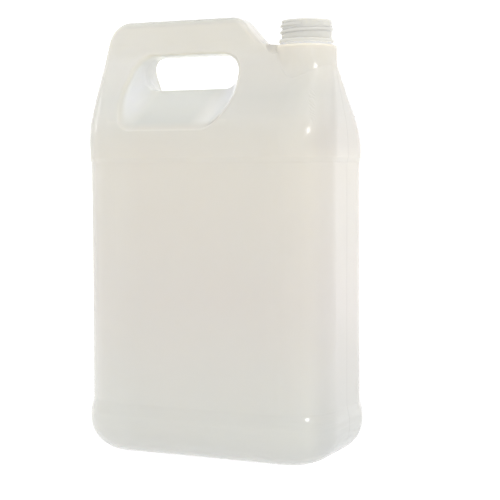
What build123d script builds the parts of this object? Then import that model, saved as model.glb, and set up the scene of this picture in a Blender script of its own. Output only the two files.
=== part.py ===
from build123d import *
import math
import os

# Body of the jug: a rounded box with a label panel set in between a foot band and a shoulder
panel_width = 181.6
panel_depth = 105.2
panel_height = 165.0
panel_corner = 33.0
foot_proud = 2.1
foot_band_top = 27.5
foot_step = 8.5
shoulder_proud = 1.0
shoulder_step = 3.6
heel_radius = 23.0
panel_blend = 8.0
step_blend = 2.5
wall = 1.0

# Pushed-up floor inside a flat ring that the jug stands on
ring_width = 7.0
push_up_height = 4.0
push_up_run = 9.0
push_up_corner = 14.0
push_up_blend = 2.0

# Shoulder: bends in from the upright wall, leans straight and bends up again into the handle
bend_rise = 3.7
bend_radius = 40.0
lean_angle = 38.2
upper_bend_radius = 20.0
bend_sections = 5
left_share = -0.008
right_share = 0.27
left_corner_ease = 0.72
right_corner_ease = 1.4

# Handle along the top, thinner than the body, with a saddle between it and the neck
handle_half_depth = 9.7
handle_left_corner = 8.0
handle_right_corner = 9.4
handle_rise = 16.34
handle_left_round = 18.0
handle_left_lean = 8.6
handle_left_clear = 0.3
handle_right_round = 12.0
handle_slope_angle = 48.2
handle_to_neck = 46.7
handle_edge = 3.5
saddle_drop = 19.4
saddle_round = 8.0

# Scoops that fall from the saddle between handle and neck, front and back
scoop_radius = 8.3
scoop_to_neck = 19.3
scoop_drop = 7.9
scoop_reach = 13.6

# Neck with a plain outside for the closure, a bead under it and a flared column below
neck_to_end = 28.9
neck_outside = 34.6
neck_bore = 29.4
neck_height = 16.8
neck_lip = 0.8
bead_diameter = 37.7
bead_lift = 1.5
bead_height = 2.6
bead_edge = 0.9
column_radius = 20.7
column_drop = 1.7
column_edge = 1.2
column_roof = 2.4
column_blend = 2.5
flare_drop = 4.0
flare_height = 21.0
flare_across = 2.0
flare_deep = 6.7

# Hand hole, the mouth where it opens and the pocket beyond, each wider than the one before
hole_to_end = 29.1
hole_to_neck = 48.7
hole_to_top = 25.2
hole_height = 23.4
hole_corner = 11.0
hole_half_depth = 4.8
mouth_reach = 8.3
mouth_left_widening = 1.3
mouth_right_widening = 6.2
mouth_lift = 1.0
mouth_corner = 14.0
pocket_reach = 5.4
pocket_left_widening = 2.8
pocket_right_widening = 6.4
pocket_lift = 6.0
pocket_corner = 18.0
pocket_fall = 0.64
pocket_edge = 2.5

# Heights of the body's steps, and heights and leans where the shoulder's two bends start and end
panel_bottom = foot_band_top + foot_step
panel_top = panel_bottom + panel_height
shoulder_bottom = panel_top + shoulder_step
bend_start = shoulder_bottom + bend_rise
lean_radians = math.radians(lean_angle)
front = panel_depth / 2 + shoulder_proud
full_lean = front - handle_half_depth
bend_lean = bend_radius * (1 - math.cos(lean_radians))
bend_end = bend_start + bend_radius * math.sin(lean_radians)
upper_bend_lean = full_lean - upper_bend_radius * (1 - math.cos(lean_radians))
upper_bend_start = bend_end + (upper_bend_lean - bend_lean) / math.tan(lean_radians)
upper_bend_end = upper_bend_start + upper_bend_radius * math.sin(lean_radians)

# Places of the handle, the neck and the hand hole on the shoulder
handle_top = upper_bend_end + handle_rise
saddle_height = handle_top - saddle_drop
neck_x = panel_width / 2 - neck_to_end
column_top = saddle_height - column_drop
flare_top = column_top - flare_drop
neck_top = column_top + neck_height
hole_left = hole_to_end - panel_width / 2
hole_right = neck_x - hole_to_neck
hole_top = handle_top - hole_to_top
hole_bottom = hole_top - hole_height
touch = 0.01


def between(start, end, share):
    """Value that lies a share of the way from start to end."""
    return start + (end - start) * share


def meeting_edges(form, first, second):
    """Edges of a form along which the skins of two earlier solids met."""
    skins = (first.shell(), second.shell())
    return [edge for edge in form.edges() if all(skin.distance_to(edge @ 0.5) < touch for skin in skins)]


def body_plan(height, proud, inset):
    """Section of the body, proud of the label panel and drawn in by inset."""
    grow = proud - inset
    with BuildSketch(Plane.XY.offset(height)) as section:
        RectangleRounded(panel_width + 2 * grow, panel_depth + 2 * grow, panel_corner + grow)
    return section.sketch


def body(inset):
    """Body from the foot to the start of the shoulder's bend."""
    with BuildPart() as lower:
        extrude(body_plan(inset, foot_proud, inset), amount=foot_band_top - inset)
        fillet(lower.faces().sort_by(Axis.Z)[0].edges(), heel_radius - inset)
        loft([body_plan(foot_band_top, foot_proud, inset), body_plan(panel_bottom, 0, inset)], ruled=True)
        extrude(body_plan(panel_bottom, 0, inset), amount=panel_top - panel_bottom)
        shoulder_start = body_plan(shoulder_bottom, shoulder_proud, inset)
        loft([body_plan(panel_top, 0, inset), shoulder_start], ruled=True)
        extrude(shoulder_start, amount=bend_start - shoulder_bottom)
        for height, radius in (
            (foot_band_top, panel_blend),
            (panel_bottom, panel_blend),
            (panel_top, step_blend),
            (shoulder_bottom, step_blend),
        ):
            fillet(lower.edges().filter_by_position(Axis.Z, height - touch, height + touch), radius)
    return lower.part


def push_up(grow):
    """Space under the pushed-up floor, grown by the wall for the inside."""
    width = panel_width + 2 * (foot_proud - heel_radius - ring_width + grow)
    depth = panel_depth + 2 * (foot_proud - heel_radius - ring_width + grow)
    corner = push_up_corner + grow
    with BuildPart() as space:
        with BuildSketch(Plane.XY.offset(grow)):
            RectangleRounded(width, depth, corner)
        with BuildSketch(Plane.XY.offset(grow + push_up_height)):
            RectangleRounded(width - 2 * push_up_run, depth - 2 * push_up_run, corner - push_up_run)
        loft(ruled=True)
        fillet(space.faces().sort_by(Axis.Z)[-1].edges(), push_up_blend)
    return space.part


def shoulder_plan(height, lean, inset):
    """Section of the shoulder where its front has leaned in by lean, drawn in by inset."""
    left = -panel_width / 2 - shoulder_proud + left_share * lean + inset
    right = panel_width / 2 + shoulder_proud - right_share * lean - inset
    half = front - lean - inset
    share = lean / full_lean
    start_corner = panel_corner + shoulder_proud
    left_corner = between(start_corner, handle_left_corner, share**left_corner_ease)
    right_corner = between(start_corner, handle_right_corner, share**right_corner_ease)
    with BuildSketch(Plane.XY.offset(height)) as section:
        with BuildLine():
            Polyline((left, -half), (right, -half), (right, half), (left, half), close=True)
        make_face()
        fillet(section.vertices().group_by(Axis.X)[0], left_corner - inset)
        fillet(section.vertices().group_by(Axis.X)[-1], right_corner - inset)
    return section.sketch


def shoulder(inset):
    """Shoulder that leans in from the body and rises into the upright sides of the handle."""
    shares = [step / (bend_sections - 1) for step in range(bend_sections)]
    angles = [lean_radians * share for share in shares]
    lower_bend = [
        shoulder_plan(
            bend_start + bend_radius * math.sin(angle),
            bend_radius * (1 - math.cos(angle)),
            inset,
        )
        for angle in angles
    ]
    straight = [
        shoulder_plan(
            between(bend_end, upper_bend_start, share),
            between(bend_lean, upper_bend_lean, share),
            inset,
        )
        for share in shares
    ]
    upper_bend = [
        shoulder_plan(
            upper_bend_end - upper_bend_radius * math.sin(angle),
            full_lean - upper_bend_radius * (1 - math.cos(angle)),
            inset,
        )
        for angle in reversed(angles)
    ]
    with BuildPart() as upper:
        loft(lower_bend)
        loft(straight)
        loft(upper_bend)
        extrude(upper_bend[-1], amount=handle_top - inset - upper_bend_end)
    return upper.part


def handle_outline(inset):
    """Front outline that trims the top: rounded left end, flat top, slope and saddle."""
    left = -panel_width / 2 - shoulder_proud + left_share * full_lean + inset
    top = handle_top - inset
    saddle = saddle_height - inset
    slope_run = saddle_drop / math.tan(math.radians(handle_slope_angle))
    slope_head = neck_x - handle_to_neck - inset * math.tan(math.radians(handle_slope_angle / 2))
    outer = panel_width
    with BuildSketch(Plane.XZ) as outline:
        with BuildLine():
            Polyline(
                (-outer, 0),
                (-outer, upper_bend_start),
                (left - handle_left_clear, upper_bend_start),
                (left + handle_left_lean, top),
                (slope_head, top),
                (slope_head + slope_run, saddle),
                (outer, saddle),
                (outer, 0),
                close=True,
            )
        make_face()
        fillet(outline.vertices().group_by(Axis.Y)[-1].sort_by(Axis.X)[0], handle_left_round - inset)
        fillet(outline.vertices().group_by(Axis.Y)[-1].sort_by(Axis.X)[-1], handle_right_round - inset)
        on_saddle = outline.vertices().filter_by_position(Axis.Y, saddle - touch, saddle + touch)
        fillet(on_saddle.sort_by(Axis.X)[0], saddle_round + inset)
    return outline.sketch


def scoops(grow):
    """Tilted round scoops that fall from the saddle to the front and to the back."""
    tilt = math.atan2(scoop_drop, scoop_reach)
    centre = (neck_x - scoop_to_neck, 0, saddle_height + scoop_radius / math.cos(tilt))
    with BuildPart() as cut:
        with BuildSketch(Plane(centre, (1, 0, 0), (0, -scoop_reach, -scoop_drop))):
            Circle(scoop_radius + grow)
        extrude(amount=3 * scoop_reach, both=True)
        split(bisect_by=Plane.XZ, keep=Keep.TOP)
        mirror(about=Plane.XZ)
    return cut.part


def column_plan(height, share, inset):
    """Section of the column where it has flared by a share of its full flare, drawn in by inset."""
    radius = column_radius - inset
    with BuildSketch(Plane((neck_x, 0, height), (-1, 0, 0))) as section:
        Circle(radius)
        scale(by=(1 + flare_across * share / radius, 1 + flare_deep * share / radius, 1))
    return section.sketch


def column(inset, head):
    """Round column under the neck, flared out towards the shoulder, up to the height of its head."""
    shares = [step / (bend_sections - 1) for step in range(bend_sections)]
    with BuildPart() as post:
        loft([column_plan(flare_top - flare_height * share, share**2, inset) for share in shares])
        extrude(column_plan(flare_top, 0, inset), amount=head - flare_top)
        fillet(post.faces().sort_by(Axis.Z)[-1].edges(), column_edge)
    return post.part


def hand_outline(left, right, low, high, corner, depth, grow):
    """Section of the hand hole or its pocket at a depth in front of the middle, grown all round."""
    with BuildSketch(Plane.XZ.offset(depth)) as section:
        with Locations(((left + right) / 2, (low + high) / 2)):
            RectangleRounded(right - left + 2 * grow, high - low + 2 * grow, corner + grow)
    return section.sketch


def hand_space(grow):
    """Space for the hand: a hole through the middle that opens into a sloping pocket front and back."""
    mouth_depth = handle_half_depth + mouth_reach
    mouth_left = hole_left - mouth_left_widening
    mouth_right = hole_right + mouth_right_widening
    mouth_low = hole_bottom - pocket_fall * (mouth_depth - hole_half_depth)
    pocket_depth = panel_depth / 2 + pocket_reach
    pocket_left = hole_left - pocket_left_widening
    pocket_right = hole_right + pocket_right_widening
    pocket_low = hole_bottom - pocket_fall * (pocket_depth - hole_half_depth)
    hole = (hole_left, hole_right, hole_bottom, hole_top, hole_corner)
    mouth = (mouth_left, mouth_right, mouth_low, hole_top + mouth_lift, mouth_corner)
    pocket = (pocket_left, pocket_right, pocket_low, hole_top + pocket_lift, pocket_corner)
    with BuildPart() as space:
        extrude(hand_outline(*hole, 0, grow), amount=hole_half_depth)
        loft(
            [
                hand_outline(*hole, hole_half_depth, grow),
                hand_outline(*mouth, mouth_depth, grow),
                hand_outline(*pocket, pocket_depth, grow),
            ]
        )
        mirror(about=Plane.XZ)
    return space.part


def jug_form(inset, saddle_end, column_head):
    """Form of the jug below its neck, with every face drawn in by inset."""
    with BuildPart() as form:
        add(body(inset))
        add(push_up(inset), mode=Mode.SUBTRACT)
        add(shoulder(inset))
        extrude(handle_outline(inset), amount=panel_depth, both=True, mode=Mode.INTERSECT)
        rim = [
            edge
            for face in form.faces()
            if face.center().Z > saddle_height - inset - touch and abs(face.normal_at().Y) < touch
            for edge in face.edges()
            if abs(edge.center().Y) > handle_half_depth / 2 and edge.center().X < neck_x
        ]
        fillet(rim, handle_edge - inset)
        add(scoops(inset), mode=Mode.SUBTRACT)
        with BuildSketch(Plane.XY.offset(column_head)):
            with Locations((saddle_end, 0)):
                Rectangle(panel_width, panel_depth, align=(Align.MIN, Align.CENTER))
        extrude(amount=handle_top, mode=Mode.SUBTRACT)
        shaped = form.part
        post = column(inset, column_head)
        add(post)
        foot_limit = saddle_height - scoop_drop - inset
        foot = [edge for edge in meeting_edges(form, shaped, post) if edge.center().Z < foot_limit]
        fillet(foot, column_blend - inset)
        shaped = form.part
        space = hand_space(inset)
        add(space, mode=Mode.SUBTRACT)
        fillet(meeting_edges(form, shaped, space), pocket_edge - inset)
    return form.part


def neck():
    """Solid neck with a rounded lip and the bead below the closure."""
    with BuildPart() as tube:
        with BuildSketch(Plane.XY.offset(column_top + bead_lift)):
            with Locations((neck_x, 0)):
                Circle(bead_diameter / 2)
        extrude(amount=bead_height)
        fillet(tube.edges().filter_by(GeomType.CIRCLE), bead_edge)
        with BuildSketch(Plane.XY.offset(column_top)):
            with Locations((neck_x, 0)):
                Circle(neck_outside / 2)
        extrude(amount=neck_height)
        fillet(tube.faces().sort_by(Axis.Z)[-1].edges(), neck_lip)
    return tube.part


with BuildPart() as jug:
    add(jug_form(0, neck_x, column_top))
    add(neck())
    add(jug_form(wall, neck_x - neck_outside / 2, column_top - column_roof), mode=Mode.SUBTRACT)
    with BuildSketch(Plane.XY.offset(column_top - column_roof)):
        with Locations((neck_x, 0)):
            Circle(neck_bore / 2)
    extrude(amount=column_roof + neck_height, mode=Mode.SUBTRACT)
    rims = jug.edges().filter_by_position(Axis.Z, neck_top - touch, neck_top + touch)
    fillet(rims.filter_by(GeomType.CIRCLE).sort_by(SortBy.RADIUS)[0], neck_lip)
jug.part.label = "jug"
os.makedirs("parts", exist_ok=True)
export_step(jug.part, "parts/jug.step")
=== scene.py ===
"""Looks of an empty f-style jug of natural polyethylene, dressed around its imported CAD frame."""

import logging
import math
from dataclasses import dataclass
from enum import Enum
from typing import Any

import bmesh
import bpy
from mathutils import Euler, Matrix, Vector


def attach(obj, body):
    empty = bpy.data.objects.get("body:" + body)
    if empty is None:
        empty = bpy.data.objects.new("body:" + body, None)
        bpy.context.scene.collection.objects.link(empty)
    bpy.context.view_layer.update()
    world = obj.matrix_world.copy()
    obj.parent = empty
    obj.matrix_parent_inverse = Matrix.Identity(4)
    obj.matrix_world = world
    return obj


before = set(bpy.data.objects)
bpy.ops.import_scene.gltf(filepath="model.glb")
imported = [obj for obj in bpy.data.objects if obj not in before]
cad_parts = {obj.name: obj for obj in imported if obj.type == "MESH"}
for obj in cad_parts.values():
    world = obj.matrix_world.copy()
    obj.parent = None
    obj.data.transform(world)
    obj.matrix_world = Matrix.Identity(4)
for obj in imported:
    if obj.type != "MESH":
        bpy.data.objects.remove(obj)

MM = 0.001
MICRON = 0.000001
JUG_NODE = "jug"
JUG_BODY = "root"
NECK_X = 61.9 * MM

Colour = tuple[float, float, float]
Place = tuple[float, float, float]
Socket = bpy.types.NodeSocket

WHITE = (1.0, 1.0, 1.0, 1.0)
THREAD_TINT: Colour = (0.66, 0.65, 0.605)

log = logging.getLogger("jug_scene")


class MathKind(Enum):
    """Sums that a material does with its numbers."""

    ADD = "ADD"
    SUBTRACT = "SUBTRACT"
    MULTIPLY = "MULTIPLY"
    MULTIPLY_ADD = "MULTIPLY_ADD"
    MAXIMUM = "MAXIMUM"
    ABSOLUTE = "ABSOLUTE"
    SINE = "SINE"


class MixKind(Enum):
    """Ways in which a material lays one colour over another."""

    MIX = "MIX"
    MULTIPLY = "MULTIPLY"


class NodeGraph:
    """Small helper that adds nodes to a material and joins them."""

    def __init__(self, name: str) -> None:
        """Start an empty material.

        Args:
            name: Name of the material.
        """
        self.material = bpy.data.materials.new(name)
        self.material.use_nodes = True
        self.tree = self.material.node_tree
        self.tree.nodes.clear()

    def feed(self, socket: Socket, value: Any) -> None:
        """Join a socket to the one that feeds it, or set its plain value.

        Args:
            socket: The socket that takes the value.
            value: A plain value, or the socket that gives one.
        """
        if isinstance(value, bpy.types.NodeSocket):
            self.tree.links.new(value, socket)
        else:
            socket.default_value = value

    def add(
        self, kind: str, inputs: dict[str | int, Any] | None = None, **settings: Any
    ) -> bpy.types.Node:
        """Add a node and set it up.

        Args:
            kind: Blender's type name of the node.
            inputs: Socket name or number to a plain value, or to a socket that feeds it.
            settings: Attributes of the node itself.

        Returns:
            The new node.
        """
        node = self.tree.nodes.new(kind)
        for name, value in settings.items():
            setattr(node, name, value)
        for name, value in (inputs or {}).items():
            self.feed(node.inputs[name], value)
        return node

    def math(self, kind: MathKind, *values: Any) -> Socket:
        """Do one sum.

        Args:
            kind: The sum to do.
            values: Plain numbers, or the sockets that give them.

        Returns:
            Socket of the result.
        """
        node = self.add("ShaderNodeMath", operation=kind.value)
        for socket, value in zip(node.inputs, values):
            self.feed(socket, value)
        return node.outputs["Value"]

    def step(self, value: Socket, low: float, high: float) -> Socket:
        """Rise smoothly from 0 to 1.

        Args:
            value: Socket of the number that is read.
            low: Number at which the result is 0.
            high: Number at which the result is 1.

        Returns:
            Socket of the result.
        """
        node = self.add(
            "ShaderNodeMapRange",
            {"Value": value, "From Min": low, "From Max": high},
            interpolation_type="SMOOTHSTEP",
        )
        return node.outputs["Result"]

    def blend(self, kind: MixKind, share: Any, under: Any, over: Any) -> Socket:
        """Lay one colour over another.

        Args:
            kind: How they are laid.
            share: How much of the upper colour shows, as a number or a socket.
            under: Lower colour, plain or as a socket.
            over: Upper colour, plain or as a socket.

        Returns:
            Socket of the colour.
        """
        colours = [
            colour if isinstance(colour, bpy.types.NodeSocket) else (*colour, 1.0)
            for colour in (under, over)
        ]
        node = self.add(
            "ShaderNodeMix",
            {"Factor": share, "A": colours[0], "B": colours[1]},
            data_type="RGBA",
            blend_type=kind.value,
        )
        return node.outputs["Result"]

    def noise(
        self, place: Socket, scale: float, detail: float, stretch: Place = (1.0, 1.0, 1.0)
    ) -> Socket:
        """Cloudy noise in the jug's own frame.

        Args:
            place: Socket of the place in metres.
            scale: Waves per metre.
            detail: How many finer layers are laid on it.
            stretch: Share of the scale along each axis.

        Returns:
            Socket of the noise, around one half.
        """
        mapping = self.add("ShaderNodeMapping", {"Vector": place, "Scale": stretch})
        cloud = self.add(
            "ShaderNodeTexNoise",
            {"Vector": mapping.outputs["Vector"], "Scale": scale, "Detail": detail},
        )
        return cloud.outputs["Fac"]

    def finish(self, shader: Socket) -> bpy.types.Material:
        """Send the last shader to the surface output and give back the material."""
        self.add("ShaderNodeOutputMaterial", {"Surface": shader})
        return self.material


class Gauge(Enum):
    """Numbers that tell where a point of the skin lies and which way it faces.

    Places are in metres in the jug's own frame. ALONG runs towards the neck, ASIDE is the distance
    from the plane of the mould line, and SUNK is the depth behind the leaning wall. The OFF gauges
    are distances from the middle of a finger pocket, the axis of the neck and the middle of the
    ripples. The FACING gauges are parts of the skin's normal.
    """

    ALONG = "along"
    ASIDE = "aside"
    HEIGHT = "height"
    SUNK = "sunk"
    STRIP = "strip"
    OFF_POCKET = "off_pocket"
    OFF_NECK = "off_neck"
    OFF_STRIP = "off_strip"
    FACING_ALONG = "facing_along"
    FACING_UP = "facing_up"


Gauges = dict[Gauge, Socket]


@dataclass(frozen=True)
class Band:
    """Stretch of a gauge over which a share rises smoothly from 0 to 1."""

    gauge: Gauge
    low: float
    high: float


def within(graph: NodeGraph, gauges: Gauges, bands: tuple[Band, ...]) -> Socket:
    """Tell how far a point lies inside all of some bands.

    Args:
        graph: The material that is being built.
        gauges: Socket of each gauge.
        bands: The bands, at least one.

    Returns:
        Socket of the share, from 0 to 1.
    """
    share, *others = [graph.step(gauges[band.gauge], band.low, band.high) for band in bands]
    for other in others:
        share = graph.math(MathKind.MULTIPLY, share, other)
    return share


@dataclass(frozen=True)
class Patch:
    """Part of the skin with a colour change (its own tone, painted light or painted shade), with
    painted shade towards its foot where one is given.
    """

    name: str
    kind: MixKind
    colour: Colour
    bands: tuple[Band, ...]
    foot: Band | None = None
    foot_painted_shade: Colour = (1.0, 1.0, 1.0)

    def lay(self, graph: NodeGraph, gauges: Gauges, under: Socket) -> Socket:
        """Lay the patch over a colour.

        Args:
            graph: The material that is being built.
            gauges: Socket of each gauge.
            under: Socket of the colour below.

        Returns:
            Socket of the colour with the patch on it.
        """
        colour: Any = self.colour
        if self.foot:
            low = within(graph, gauges, (self.foot,))
            colour = graph.blend(MixKind.MULTIPLY, low, colour, self.foot_painted_shade)
        laid = graph.blend(self.kind, within(graph, gauges, self.bands), under, colour)
        laid.node.label = self.name
        return laid


@dataclass(frozen=True)
class Relief:
    """Part of the skin that the bump raises, or sinks where the height is below zero."""

    name: str
    height: float
    bands: tuple[Band, ...]

    def lay(self, graph: NodeGraph, gauges: Gauges, under: Socket) -> Socket:
        """Lay the relief on a height.

        Args:
            graph: The material that is being built.
            gauges: Socket of each gauge.
            under: Socket of the height below.

        Returns:
            Socket of the height with the relief on it.
        """
        share = within(graph, gauges, self.bands)
        laid = graph.math(MathKind.MULTIPLY_ADD, share, self.height, under)
        laid.node.label = self.name
        return laid


END_FACE = Band(Gauge.ALONG, 80.0 * MM, 90.0 * MM)
BROAD_FACE = (
    Band(Gauge.ASIDE, 44.0 * MM, 50.0 * MM),
    Band(Gauge.ALONG, 70.0 * MM, 50.0 * MM),
)
NECK = (
    Band(Gauge.OFF_NECK, 20.4 * MM, 19.4 * MM),
    Band(Gauge.HEIGHT, 280.1 * MM, 281.1 * MM),
)
NECK_GAP = (
    Band(Gauge.HEIGHT, 279.2 * MM, 279.5 * MM),
    Band(Gauge.HEIGHT, 282.0 * MM, 281.7 * MM),
    Band(Gauge.OFF_NECK, 19.0 * MM, 18.5 * MM),
)
POCKET = (
    Band(Gauge.HEIGHT, 224.0 * MM, 230.0 * MM),
    Band(Gauge.ALONG, -70.0 * MM, -66.0 * MM),
    Band(Gauge.ALONG, 26.0 * MM, 22.0 * MM),
)
POCKET_SKIN = (Band(Gauge.SUNK, 0.06 * MM, 0.4 * MM), *POCKET)
# Painted shade that darkens the finger pocket towards its foot.
POCKET_FOOT = Band(Gauge.HEIGHT, 247.0 * MM, 227.0 * MM)
POCKET_FOOT_PAINTED_SHADE: Colour = (0.85, 0.85, 0.85)
RIPPLES = (
    Band(Gauge.HEIGHT, 224.0 * MM, 230.0 * MM),
    Band(Gauge.HEIGHT, 252.0 * MM, 244.0 * MM),
    Band(Gauge.OFF_STRIP, 3.8 * MM, 1.9 * MM),
)

# Some of these tints follow how thick the wall was blown, and some stand in for the light that
# the photograph has there.
SKIN_PATCHES = (
    # Painted shade on the end on the neck's side, deeper towards its foot and on its shoulder.
    Patch("painted_shade_neck_end", MixKind.MULTIPLY, (0.93, 0.935, 0.96), (END_FACE,)),
    Patch(
        "painted_shade_neck_end_low",
        MixKind.MULTIPLY,
        (0.95, 0.95, 0.955),
        (END_FACE, Band(Gauge.HEIGHT, 110.0 * MM, 33.0 * MM)),
    ),
    Patch(
        "painted_shade_neck_end_high",
        MixKind.MULTIPLY,
        (0.95, 0.945, 0.955),
        (Band(Gauge.ALONG, 73.0 * MM, 85.0 * MM), Band(Gauge.HEIGHT, 203.0 * MM, 215.0 * MM)),
    ),
    # Painted light that lightens the handle's end of the jug.
    Patch(
        "handle_end_painted_light",
        MixKind.MULTIPLY,
        (1.025, 1.03, 1.03),
        (Band(Gauge.ALONG, -36.0 * MM, -62.0 * MM),),
    ),
    # Painted shade on the column's steep faces, which evens out the crease where it meets the
    # leaning wall.
    Patch(
        "column_painted_shade",
        MixKind.MULTIPLY,
        (0.975, 0.975, 0.98),
        (
            Band(Gauge.FACING_UP, 0.60, 0.47),
            Band(Gauge.ALONG, 30.0 * MM, 40.0 * MM),
            Band(Gauge.HEIGHT, 240.0 * MM, 252.0 * MM),
        ),
    ),
    # Painted shade on the slope from the handle up to the neck, where it faces along the jug.
    Patch(
        "handle_slope_painted_shade",
        MixKind.MULTIPLY,
        (0.90, 0.91, 0.945),
        (
            Band(Gauge.FACING_ALONG, 0.25, 0.55),
            Band(Gauge.ALONG, 14.0 * MM, 18.0 * MM),
            Band(Gauge.ALONG, 44.0 * MM, 42.0 * MM),
            Band(Gauge.HEIGHT, 270.0 * MM, 274.0 * MM),
        ),
    ),
    Patch(
        "mould_line",
        MixKind.MULTIPLY,
        (0.955, 0.955, 0.96),
        (Band(Gauge.ASIDE, 0.55 * MM, 0.165 * MM),),
    ),
    # The pocket's floor: paler and greyer where the wall is thinner, with painted shade towards
    # its foot.
    Patch(
        "pocket_floor_thin_wall_and_painted_shade",
        MixKind.MIX,
        (0.77, 0.775, 0.715),
        (
            Band(Gauge.SUNK, 0.15 * MM, 1.8 * MM),
            Band(Gauge.OFF_POCKET, 36.0 * MM, 18.0 * MM),
            *POCKET,
        ),
        POCKET_FOOT,
        POCKET_FOOT_PAINTED_SHADE,
    ),
    # The pocket's sides: paler for the thinner wall and lightened further as painted light against
    # the shade in the recess, with painted shade towards its foot.
    Patch(
        "pocket_sides_thin_wall_and_painted_light",
        MixKind.MIX,
        (0.985, 0.98, 0.90),
        (
            Band(Gauge.SUNK, 1.5 * MM, 7.0 * MM),
            Band(Gauge.OFF_POCKET, 18.0 * MM, 36.0 * MM),
            *POCKET,
        ),
        POCKET_FOOT,
        POCKET_FOOT_PAINTED_SHADE,
    ),
    # Painted shade on the pocket's lip where it faces the handle's end.
    Patch(
        "pocket_lip_painted_shade",
        MixKind.MULTIPLY,
        (0.86, 0.86, 0.875),
        (
            Band(Gauge.SUNK, 18.0 * MM, 7.0 * MM),
            Band(Gauge.FACING_ALONG, -0.05, -0.35),
            *POCKET_SKIN,
        ),
    ),
)

# The steps soften how the panel's edges take the light, and the corner sets the foot's highlight.
SKIN_RELIEFS = (
    Relief("mould_line", 90.0 * MICRON, (Band(Gauge.ASIDE, 0.55 * MM, 0.11 * MM),)),
    Relief(
        "shoulder_step",
        -0.25 * MM,
        (*BROAD_FACE, Band(Gauge.HEIGHT, 200.2 * MM, 205.4 * MM)),
    ),
    Relief(
        "foot_step",
        0.525 * MM,
        (*BROAD_FACE, Band(Gauge.HEIGHT, 26.5 * MM, 37.0 * MM)),
    ),
    Relief(
        "foot_corner",
        -0.75 * MM,
        (Band(Gauge.ALONG, 62.0 * MM, 76.0 * MM), Band(Gauge.HEIGHT, 31.0 * MM, 36.0 * MM)),
    ),
)


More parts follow.
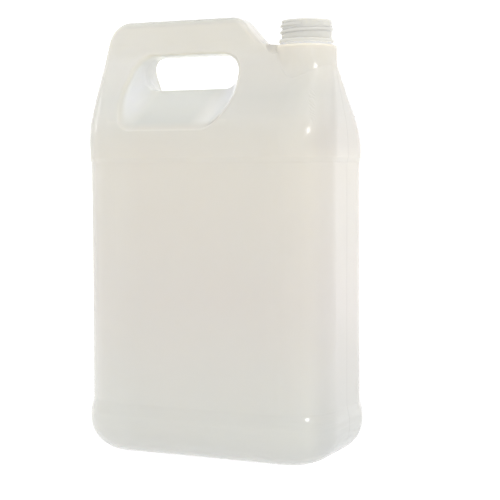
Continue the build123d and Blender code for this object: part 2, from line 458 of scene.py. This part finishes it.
@dataclass(frozen=True)
class NaturalPolyethylene:
    """Uncoloured, milky plastic of the jug, with its satin moulded skin."""

    name: str = "natural_polyethylene"
    # The plastic's tone by height, partly its own and partly painted shade: darker towards the
    # base and at the handle's top edge.
    height_tints_and_painted_shade: tuple[tuple[float, Colour], ...] = (
        (0.0 * MM, (0.635, 0.635, 0.61)),
        (8.0 * MM, (0.655, 0.655, 0.62)),
        (20.0 * MM, (0.695, 0.69, 0.64)),
        (35.0 * MM, (0.71, 0.70, 0.645)),
        (110.0 * MM, (0.74, 0.695, 0.635)),
        (200.0 * MM, (0.79, 0.735, 0.645)),
        (245.0 * MM, (0.715, 0.695, 0.625)),
        (285.0 * MM, (0.855, 0.80, 0.695)),
        (296.0 * MM, (0.84, 0.79, 0.69)),
        (301.0 * MM, (0.62, 0.62, 0.58)),
    )
    top: float = 301.2 * MM
    warm: Colour = (1.0, 0.985, 0.975)
    cool: Colour = (0.985, 1.0, 1.0)
    cloud_scale: float = 16.0
    cloud_detail: float = 2.0
    neck_tint: Colour = (0.685, 0.675, 0.63)
    painted_gap_light: Colour = (0.96, 0.955, 0.93)
    lean_foot: float = 233.04 * MM
    lean_half_depth: float = 45.03 * MM
    lean_slope: float = 0.78693
    pocket_middle: float = -26.0 * MM
    scatter_weight: float = 1.0
    scatter_reach: float = 2.5 * MM
    scatter_colour: Colour = (1.0, 0.97, 0.88)
    gloss: float = 0.5
    pocket_gloss: float | None = 0.08
    index: float = 1.54
    roughness_low: float = 0.16
    roughness_high: float = 0.215
    satin_scale: float = 45.0
    satin_detail: float = 3.0
    satin_stretch: Place = (1.0, 1.0, 0.35)
    satin_low: float = 0.3
    satin_high: float = 0.7
    peel_scale: float = 650.0
    peel_detail: float = 1.0
    peel_height: float = 7.0 * MICRON
    die_line_scale: float = 420.0
    die_line_detail: float = 2.0
    die_line_stretch: Place = (1.0, 1.0, 0.02)
    die_line_height: float = 7.0 * MICRON
    ripple_length: float = 2.6 * MM
    ripple_height: float = 34.0 * MICRON
    ripple_middle: float = 42.6 * MM
    ripple_level: float = 227.0 * MM
    ripple_shift: float = 0.323
    sway_scale: float = 170.0
    sway_detail: float = 1.0
    sway_turn: float = 14.0

    def gauges(self, graph: NodeGraph, place: Socket) -> Gauges:
        """Read every gauge.

        Args:
            graph: The material that is being built.
            place: Socket of the place in metres.

        Returns:
            Socket of each gauge.
        """
        x, y, z = graph.add("ShaderNodeSeparateXYZ", {"Vector": place}).outputs
        normal = graph.add("ShaderNodeTexCoord").outputs["Normal"]
        facing = graph.add("ShaderNodeSeparateXYZ", {"Vector": normal}).outputs
        aside = graph.math(MathKind.ABSOLUTE, y)
        lean_start = self.lean_half_depth + self.lean_slope * self.lean_foot
        lean = graph.math(MathKind.MULTIPLY_ADD, z, -self.lean_slope, lean_start)
        off_pocket = graph.math(MathKind.SUBTRACT, x, self.pocket_middle)
        off_axis = graph.math(MathKind.SUBTRACT, x, NECK_X)
        spread = graph.add("ShaderNodeCombineXYZ", {"X": off_axis, "Y": y}).outputs["Vector"]
        off_neck = graph.add("ShaderNodeVectorMath", {0: spread}, operation="LENGTH")
        strip_start = self.ripple_shift * self.ripple_level
        strip = graph.math(MathKind.MULTIPLY_ADD, z, -self.ripple_shift, strip_start)
        strip = graph.math(MathKind.ADD, strip, graph.math(MathKind.SUBTRACT, x, aside))
        off_strip = graph.math(MathKind.SUBTRACT, strip, self.ripple_middle)
        return {
            Gauge.ALONG: x,
            Gauge.ASIDE: aside,
            Gauge.HEIGHT: z,
            Gauge.SUNK: graph.math(MathKind.SUBTRACT, lean, aside),
            Gauge.STRIP: strip,
            Gauge.OFF_POCKET: graph.math(MathKind.ABSOLUTE, off_pocket),
            Gauge.OFF_NECK: off_neck.outputs["Value"],
            Gauge.OFF_STRIP: graph.math(MathKind.ABSOLUTE, off_strip),
            Gauge.FACING_ALONG: facing["X"],
            Gauge.FACING_UP: facing["Z"],
        }

    def tint(self, graph: NodeGraph, place: Socket, gauges: Gauges) -> Socket:
        """Colour of the plastic, with its changes by height and its patches, which hold painted
        light and shade as well as the plastic's own tone.

        Args:
            graph: The material that is being built.
            place: Socket of the place in metres.
            gauges: Socket of each gauge.

        Returns:
            Socket of the colour.
        """
        rise = graph.math(MathKind.MULTIPLY, gauges[Gauge.HEIGHT], 1.0 / self.top)
        ramp = graph.add("ShaderNodeValToRGB", {"Fac": rise})
        stops = ramp.color_ramp.elements
        while len(stops) < len(self.height_tints_and_painted_shade):
            stops.new(1.0)
        for stop, (height, tint) in zip(stops, self.height_tints_and_painted_shade):
            stop.position = height / self.top
            stop.color = (*tint, 1.0)
        cloud = graph.noise(place, self.cloud_scale, self.cloud_detail)
        mottle = graph.blend(MixKind.MIX, cloud, self.warm, self.cool)
        colour = graph.blend(MixKind.MULTIPLY, 1.0, ramp.outputs["Color"], mottle)
        neck = Patch("neck", MixKind.MIX, self.neck_tint, NECK)
        # Painted light in the gap between the column's top and the neck's bead, against the shade
        # that falls there.
        gap = Patch("neck_gap_painted_light", MixKind.MIX, self.painted_gap_light, NECK_GAP)
        for patch in (*SKIN_PATCHES, neck, gap):
            colour = patch.lay(graph, gauges, colour)
        return colour

    def skin(self, graph: NodeGraph, place: Socket, gauges: Gauges) -> Socket:
        """Fine relief of the moulded skin: orange peel, die lines, ripples and the mould line.

        Args:
            graph: The material that is being built.
            place: Socket of the place in metres.
            gauges: Socket of each gauge.

        Returns:
            Socket of the normal.
        """
        peel = graph.noise(place, self.peel_scale, self.peel_detail)
        height = graph.math(MathKind.MULTIPLY, peel, self.peel_height)
        die_lines = graph.noise(
            place, self.die_line_scale, self.die_line_detail, self.die_line_stretch
        )
        height = graph.math(MathKind.MULTIPLY_ADD, die_lines, self.die_line_height, height)
        turn = math.pi / self.ripple_length
        sway = graph.noise(place, self.sway_scale, self.sway_detail)
        sway = graph.math(MathKind.MULTIPLY, sway, self.sway_turn)
        sway = graph.math(MathKind.MULTIPLY_ADD, gauges[Gauge.STRIP], turn, sway)
        wave = graph.math(MathKind.MULTIPLY_ADD, gauges[Gauge.HEIGHT], 2.0 * turn, sway)
        wave = graph.math(MathKind.SINE, wave)
        ripples = graph.math(MathKind.MULTIPLY, wave, within(graph, gauges, RIPPLES))
        height = graph.math(MathKind.MULTIPLY_ADD, ripples, self.ripple_height, height)
        for relief in SKIN_RELIEFS:
            height = relief.lay(graph, gauges, height)
        bump = graph.add("ShaderNodeBump", {"Height": height, "Distance": 1.0})
        return bump.outputs["Normal"]

    def material(self) -> bpy.types.Material:
        """Build the material.

        Returns:
            The finished material.
        """
        graph = NodeGraph(self.name)
        place = graph.add("ShaderNodeTexCoord").outputs["Object"]
        gauges = self.gauges(graph, place)
        satin = graph.add(
            "ShaderNodeMapRange",
            {
                "Value": graph.noise(
                    place, self.satin_scale, self.satin_detail, self.satin_stretch
                ),
                "From Min": self.satin_low,
                "From Max": self.satin_high,
                "To Min": self.roughness_low,
                "To Max": self.roughness_high,
            },
        )
        gloss: Any = self.gloss
        if self.pocket_gloss is not None:
            dull = within(graph, gauges, POCKET_SKIN)
            change = self.pocket_gloss - self.gloss
            gloss = graph.math(MathKind.MULTIPLY_ADD, dull, change, self.gloss)
        shader = graph.add(
            "ShaderNodeBsdfPrincipled",
            {
                "Base Color": self.tint(graph, place, gauges),
                "Roughness": satin.outputs["Result"],
                "Specular IOR Level": gloss,
                "Normal": self.skin(graph, place, gauges),
                "IOR": self.index,
                "Subsurface Weight": self.scatter_weight,
                "Subsurface Radius": self.scatter_colour,
                "Subsurface Scale": self.scatter_reach,
            },
        )
        return graph.finish(shader.outputs["BSDF"])


@dataclass(frozen=True)
class BackdropPaper:
    """Matt white, glowing paper under and behind the jug, with a painted pool of light on it
    behind, painted light on the floor near the jug and a painted shadow under the jug's base.
    """

    name: str = "backdrop_paper"
    tint: Colour = (0.22, 0.22, 0.22)
    paper_glow: float = 0.77
    floor_glow: float = 0.12
    floor_near: float = 0.5
    floor_far: float = 1.4
    pool_glow: float = 0.38
    pool_centre: Place = (-0.3, 2.2, 0.2)
    pool_radius: float = 1.8
    pool_edge: float = 0.45
    shade_half_width: float = 72.0 * MM
    shade_half_depth: float = 34.0 * MM
    shade_core: float = 0.70

    def material(self) -> bpy.types.Material:
        """Build the material.

        Returns:
            The finished material.
        """
        graph = NodeGraph(self.name)
        place = graph.add("ShaderNodeTexCoord").outputs["Object"]
        away = graph.add(
            "ShaderNodeVectorMath", {0: place, 1: self.pool_centre}, operation="DISTANCE"
        )
        pool_core = self.pool_radius - self.pool_edge
        pool = graph.step(away.outputs["Value"], self.pool_radius, pool_core)
        reach = graph.add("ShaderNodeVectorMath", {0: place}, operation="LENGTH")
        near = graph.step(reach.outputs["Value"], self.floor_far, self.floor_near)
        strength = graph.math(MathKind.MULTIPLY_ADD, near, self.floor_glow, self.paper_glow)
        strength = graph.math(MathKind.MULTIPLY_ADD, pool, self.pool_glow, strength)
        # Painted shadow: the glow fades out under the jug's base.
        x, y, _ = graph.add("ShaderNodeSeparateXYZ", {"Vector": place}).outputs
        wide = graph.math(MathKind.ABSOLUTE, x)
        wide = graph.math(MathKind.MULTIPLY, wide, 1.0 / self.shade_half_width)
        deep = graph.math(MathKind.ABSOLUTE, y)
        deep = graph.math(MathKind.MULTIPLY, deep, 1.0 / self.shade_half_depth)
        clear = graph.step(graph.math(MathKind.MAXIMUM, wide, deep), self.shade_core, 1.0)
        strength = graph.math(MathKind.MULTIPLY, strength, clear)
        paper = graph.add("ShaderNodeBsdfDiffuse", {"Color": (*self.tint, 1.0), "Roughness": 1.0})
        glow = graph.add("ShaderNodeEmission", {"Color": WHITE, "Strength": strength})
        both = graph.add(
            "ShaderNodeAddShader", {0: paper.outputs["BSDF"], 1: glow.outputs["Emission"]}
        )
        return graph.finish(both.outputs["Shader"])


@dataclass
class JugBody:
    """The moulded jug itself: the CAD node in its finish."""

    def dress(self, node: bpy.types.Object, finish: bpy.types.Material) -> bpy.types.Object:
        """Give the CAD node its material.

        Args:
            node: The CAD node of the jug.
            finish: Material of the jug.

        Returns:
            The same node.
        """
        node.data.materials.clear()
        node.data.materials.append(finish)
        return node


def ease(share: float) -> float:
    """Smooth step from 0 to 1 for a share that is held between them."""
    held = min(1.0, max(0.0, share))
    return held * held * (3.0 - 2.0 * held)


@dataclass
class Ridge:
    """Closed, rounded ridge swept along a line on the jug's skin."""

    name: str
    half_width: float
    crest_share: float = 0.3
    sink: float = 0.2 * MM
    across_points: int = 11

    def lift(self, share: float) -> float:
        """Height of the profile, from 0 at its sides, -1 and 1 across, to 1 on its crest."""
        return ease((1.0 - abs(share)) / (1.0 - self.crest_share))

    def build(
        self,
        spine: list[Vector],
        outward: list[Vector],
        across: list[Vector],
        heights: list[float],
        finish: bpy.types.Material,
    ) -> bpy.types.Object:
        """Sweep the profile along its line.

        Args:
            spine: Points on the skin that the ridge follows.
            outward: Unit vector away from the skin at each point.
            across: Unit vector across the ridge at each point.
            heights: Height of the crest above the skin at each point.
            finish: Material of the ridge.

        Returns:
            The new piece, riding on the jug.
        """
        count = self.across_points
        shares = [2.0 * step / (count - 1) - 1.0 for step in range(count)]
        mesh = bmesh.new()
        rings = []
        for place, out, side, height in zip(spine, outward, across, heights):
            ring = []
            for share in shares:
                rise = height * self.lift(share) if abs(share) < 1.0 else -self.sink
                offset = side * (share * self.half_width) + out * rise
                ring.append(mesh.verts.new(place + offset))
            rings.append(ring)
        for low, high in zip(rings, rings[1:]):
            for step in range(count):
                after = (step + 1) % count
                face = mesh.faces.new((low[step], low[after], high[after], high[step]))
                face.smooth = after > 0
        mesh.faces.new(rings[0])
        mesh.faces.new(rings[-1])
        bmesh.ops.recalc_face_normals(mesh, faces=mesh.faces)
        for edge in mesh.edges:
            edge.smooth = all(face.smooth for face in edge.link_faces)
        data = bpy.data.meshes.new(self.name)
        mesh.to_mesh(data)
        mesh.free()
        data.materials.append(finish)
        piece = bpy.data.objects.new(self.name, data)
        bpy.context.scene.collection.objects.link(piece)
        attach(piece, JUG_BODY)
        return piece


@dataclass
class NeckThread:
    """Raised thread around the neck, which the closure turns on."""

    axis_x: float = NECK_X
    root_radius: float = 17.3 * MM
    proud: float = 0.9 * MM
    half_width: float = 1.35 * MM
    pitch: float = 4.233 * MM
    level: float = 288.8 * MM
    level_angle: float = 205.7
    start_angle: float = 112.0
    end_angle: float = 640.0
    fade_angle: float = 40.0
    step_angle: float = 4.0

    def build(self, finish: bpy.types.Material) -> bpy.types.Object:
        """Build the thread and dress it.

        Args:
            finish: Material of the thread.

        Returns:
            The thread.
        """
        steps = round((self.end_angle - self.start_angle) / self.step_angle)
        spine, outward, across, heights = [], [], [], []
        for step in range(steps + 1):
            degrees = self.start_angle + step * self.step_angle
            angle = math.radians(degrees)
            out = Vector((math.cos(angle), math.sin(angle), 0.0))
            height = self.level + self.pitch * (degrees - self.level_angle) / 360.0
            spine.append(Vector((self.axis_x, 0.0, height)) + out * self.root_radius)
            outward.append(out)
            across.append(Vector((0.0, 0.0, 1.0)))
            to_end = min(degrees - self.start_angle, self.end_angle - degrees)
            heights.append(self.proud * ease(to_end / self.fade_angle))
        ridge = Ridge("neck_thread", self.half_width)
        return ridge.build(spine, outward, across, heights, finish)


@dataclass
class PinchOff:
    """Raised scar under the base, where the mould pinched the tube of plastic shut."""

    half_length: float = 50.0 * MM
    half_width: float = 0.9 * MM
    proud: float = 0.7 * MM
    fade: float = 8.0 * MM
    step: float = 2.0 * MM

    def build(self, node: bpy.types.Object, finish: bpy.types.Material) -> bpy.types.Object:
        """Build the scar and dress it.

        Args:
            node: The CAD node of the jug.
            finish: Material of the scar.

        Returns:
            The scar.
        """
        steps = round(2 * self.half_length / self.step)
        spine, heights = [], []
        for step in range(steps + 1):
            x = step * self.step - self.half_length
            below = Vector((x, 0.0, -self.half_length))
            hit, place, _, _ = node.ray_cast(below, Vector((0.0, 0.0, 1.0)))
            if hit:
                spine.append(place)
                heights.append(self.proud * ease((self.half_length - abs(x)) / self.fade))
        outward = [Vector((0.0, 0.0, -1.0))] * len(spine)
        across = [Vector((0.0, 1.0, 0.0))] * len(spine)
        ridge = Ridge("pinch_off", self.half_width)
        return ridge.build(spine, outward, across, heights, finish)


def direction(azimuth: float, elevation: float) -> Vector:
    """Unit vector from the jug towards a place in the studio.

    Args:
        azimuth: Angle in degrees from the front towards the neck end.
        elevation: Angle in degrees above the level.

    Returns:
        The vector.
    """
    around, up = math.radians(azimuth), math.radians(elevation)
    level = math.cos(up)
    return Vector((math.sin(around) * level, -math.cos(around) * level, math.sin(up)))


@dataclass(frozen=True)
class Lamp:
    """One rectangular studio light that faces the jug."""

    name: str
    azimuth: float
    elevation: float
    distance: float
    width: float
    height: float
    power: float

    def build(self, aim: Vector) -> bpy.types.Object:
        """Hang the light.

        Args:
            aim: The point that it faces.

        Returns:
            The light.
        """
        data = bpy.data.lights.new(self.name, "AREA")
        data.shape = "RECTANGLE"
        data.size, data.size_y = self.width, self.height
        data.energy = self.power
        light = bpy.data.objects.new(self.name, data)
        way = direction(self.azimuth, self.elevation)
        light.location = aim + way * self.distance
        light.rotation_euler = (-way).to_track_quat("-Z", "Y").to_euler()
        bpy.context.scene.collection.objects.link(light)
        return light


@dataclass
class Studio:
    """Backdrop, lights and camera."""

    floor_half_width: float = 3.5
    floor_front: float = -4.5
    wall_back: float = 2.2
    wall_height: float = 3.2
    sweep_radius: float = 1.2
    sweep_steps: int = 16
    lens: float = 96.47
    sensor_width: float = 36.0
    clip_start: float = 0.01
    clip_end: float = 50.0
    camera_azimuth: float = 24.693
    camera_elevation: float = 3.391
    camera_distance: float = 0.93294
    camera_roll: float = -0.23
    camera_target: Place = (0.01898, 0.0, 0.14071)
    ambient: float = 0.955
    lamp_aim: Place = (0.0, 0.0, 0.16)
    lamps: tuple[Lamp, ...] = (
        Lamp("right_lamp", 66.0, 32.0, 1.4, 0.08, 0.08, 1.5),
        Lamp("right_strip", 71.0, 57.0, 1.4, 0.03, 0.50, 0.4),
        Lamp("left_lamp", -96.0, 23.0, 1.4, 0.05, 0.50, 0.5),
        Lamp("left_softbox", -70.0, 50.0, 1.4, 0.70, 0.70, 0.8),
        Lamp("right_softbox", 80.0, 42.0, 1.4, 0.70, 0.70, 1.2),
        Lamp("side_softbox", 118.0, 36.0, 1.35, 0.60, 0.60, 0.6),
        Lamp("back_softbox", 220.0, 16.0, 1.4, 0.45, 0.45, 0.8),
    )

    def backdrop(self) -> bpy.types.Object:
        """Build the paper sweep that is floor and wall in one.

        Returns:
            The backdrop.
        """
        profile = [(self.floor_front, 0.0)]
        for step in range(self.sweep_steps + 1):
            angle = math.pi / 2 * step / self.sweep_steps
            back = self.wall_back - self.sweep_radius * (1 - math.sin(angle))
            profile.append((back, self.sweep_radius * (1 - math.cos(angle))))
        profile.append((self.wall_back, self.wall_height))
        mesh = bmesh.new()
        rows = [
            [mesh.verts.new((side * self.floor_half_width, y, z)) for side in (-1, 1)]
            for y, z in profile
        ]
        for low, high in zip(rows, rows[1:]):
            mesh.faces.new((low[0], low[1], high[1], high[0])).smooth = True
        data = bpy.data.meshes.new("backdrop")
        mesh.to_mesh(data)
        mesh.free()
        backdrop = bpy.data.objects.new("backdrop", data)
        bpy.context.scene.collection.objects.link(backdrop)
        backdrop.data.materials.append(BackdropPaper().material())
        return backdrop

    def world(self) -> None:
        """Light the room with an even white sky."""
        world = bpy.data.worlds.new("studio")
        world.use_nodes = True
        sky = world.node_tree.nodes["Background"]
        sky.inputs["Color"].default_value = WHITE
        sky.inputs["Strength"].default_value = self.ambient
        bpy.context.scene.world = world

    def lights(self) -> list[bpy.types.Object]:
        """Hang every lamp."""
        return [lamp.build(Vector(self.lamp_aim)) for lamp in self.lamps]

    def camera(self) -> bpy.types.Object:
        """Set the camera at the photograph's angle.

        Returns:
            The camera.
        """
        back = direction(self.camera_azimuth, self.camera_elevation)
        data = bpy.data.cameras.new("camera")
        data.lens = self.lens
        data.sensor_width = self.sensor_width
        data.clip_start = self.clip_start
        data.clip_end = self.clip_end
        camera = bpy.data.objects.new("camera", data)
        camera.location = Vector(self.camera_target) + back * self.camera_distance
        aim = (-back).to_track_quat("-Z", "Y")
        roll = Euler((0.0, 0.0, math.radians(self.camera_roll))).to_quaternion()
        camera.rotation_euler = (aim @ roll).to_euler()
        bpy.context.scene.collection.objects.link(camera)
        bpy.context.scene.camera = camera
        return camera

    def grade(self) -> None:
        """Show colours as they are, without a film curve."""
        view = bpy.context.scene.view_settings
        view.view_transform = "Standard"
        view.look = "None"


def main() -> None:
    """Dress the jug, set up the studio and log what was built."""
    logging.basicConfig(level=logging.INFO, format="%(name)s: %(message)s")
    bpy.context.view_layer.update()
    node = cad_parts[JUG_NODE]
    thin = NaturalPolyethylene().material()
    thick = NaturalPolyethylene(
        name="thick_polyethylene", neck_tint=THREAD_TINT, scatter_weight=0.0, pocket_gloss=None
    ).material()
    log.info("dressed %s", JugBody().dress(node, thin).name)
    log.info("built %s", NeckThread().build(thick).name)
    log.info("built %s", PinchOff().build(node, thick).name)
    studio = Studio()
    studio.grade()
    studio.world()
    log.info("built %s", studio.backdrop().name)
    for light in studio.lights():
        log.info("lit %s", light.name)
    log.info("placed %s", studio.camera().name)


if __name__ == "__main__":
    main()
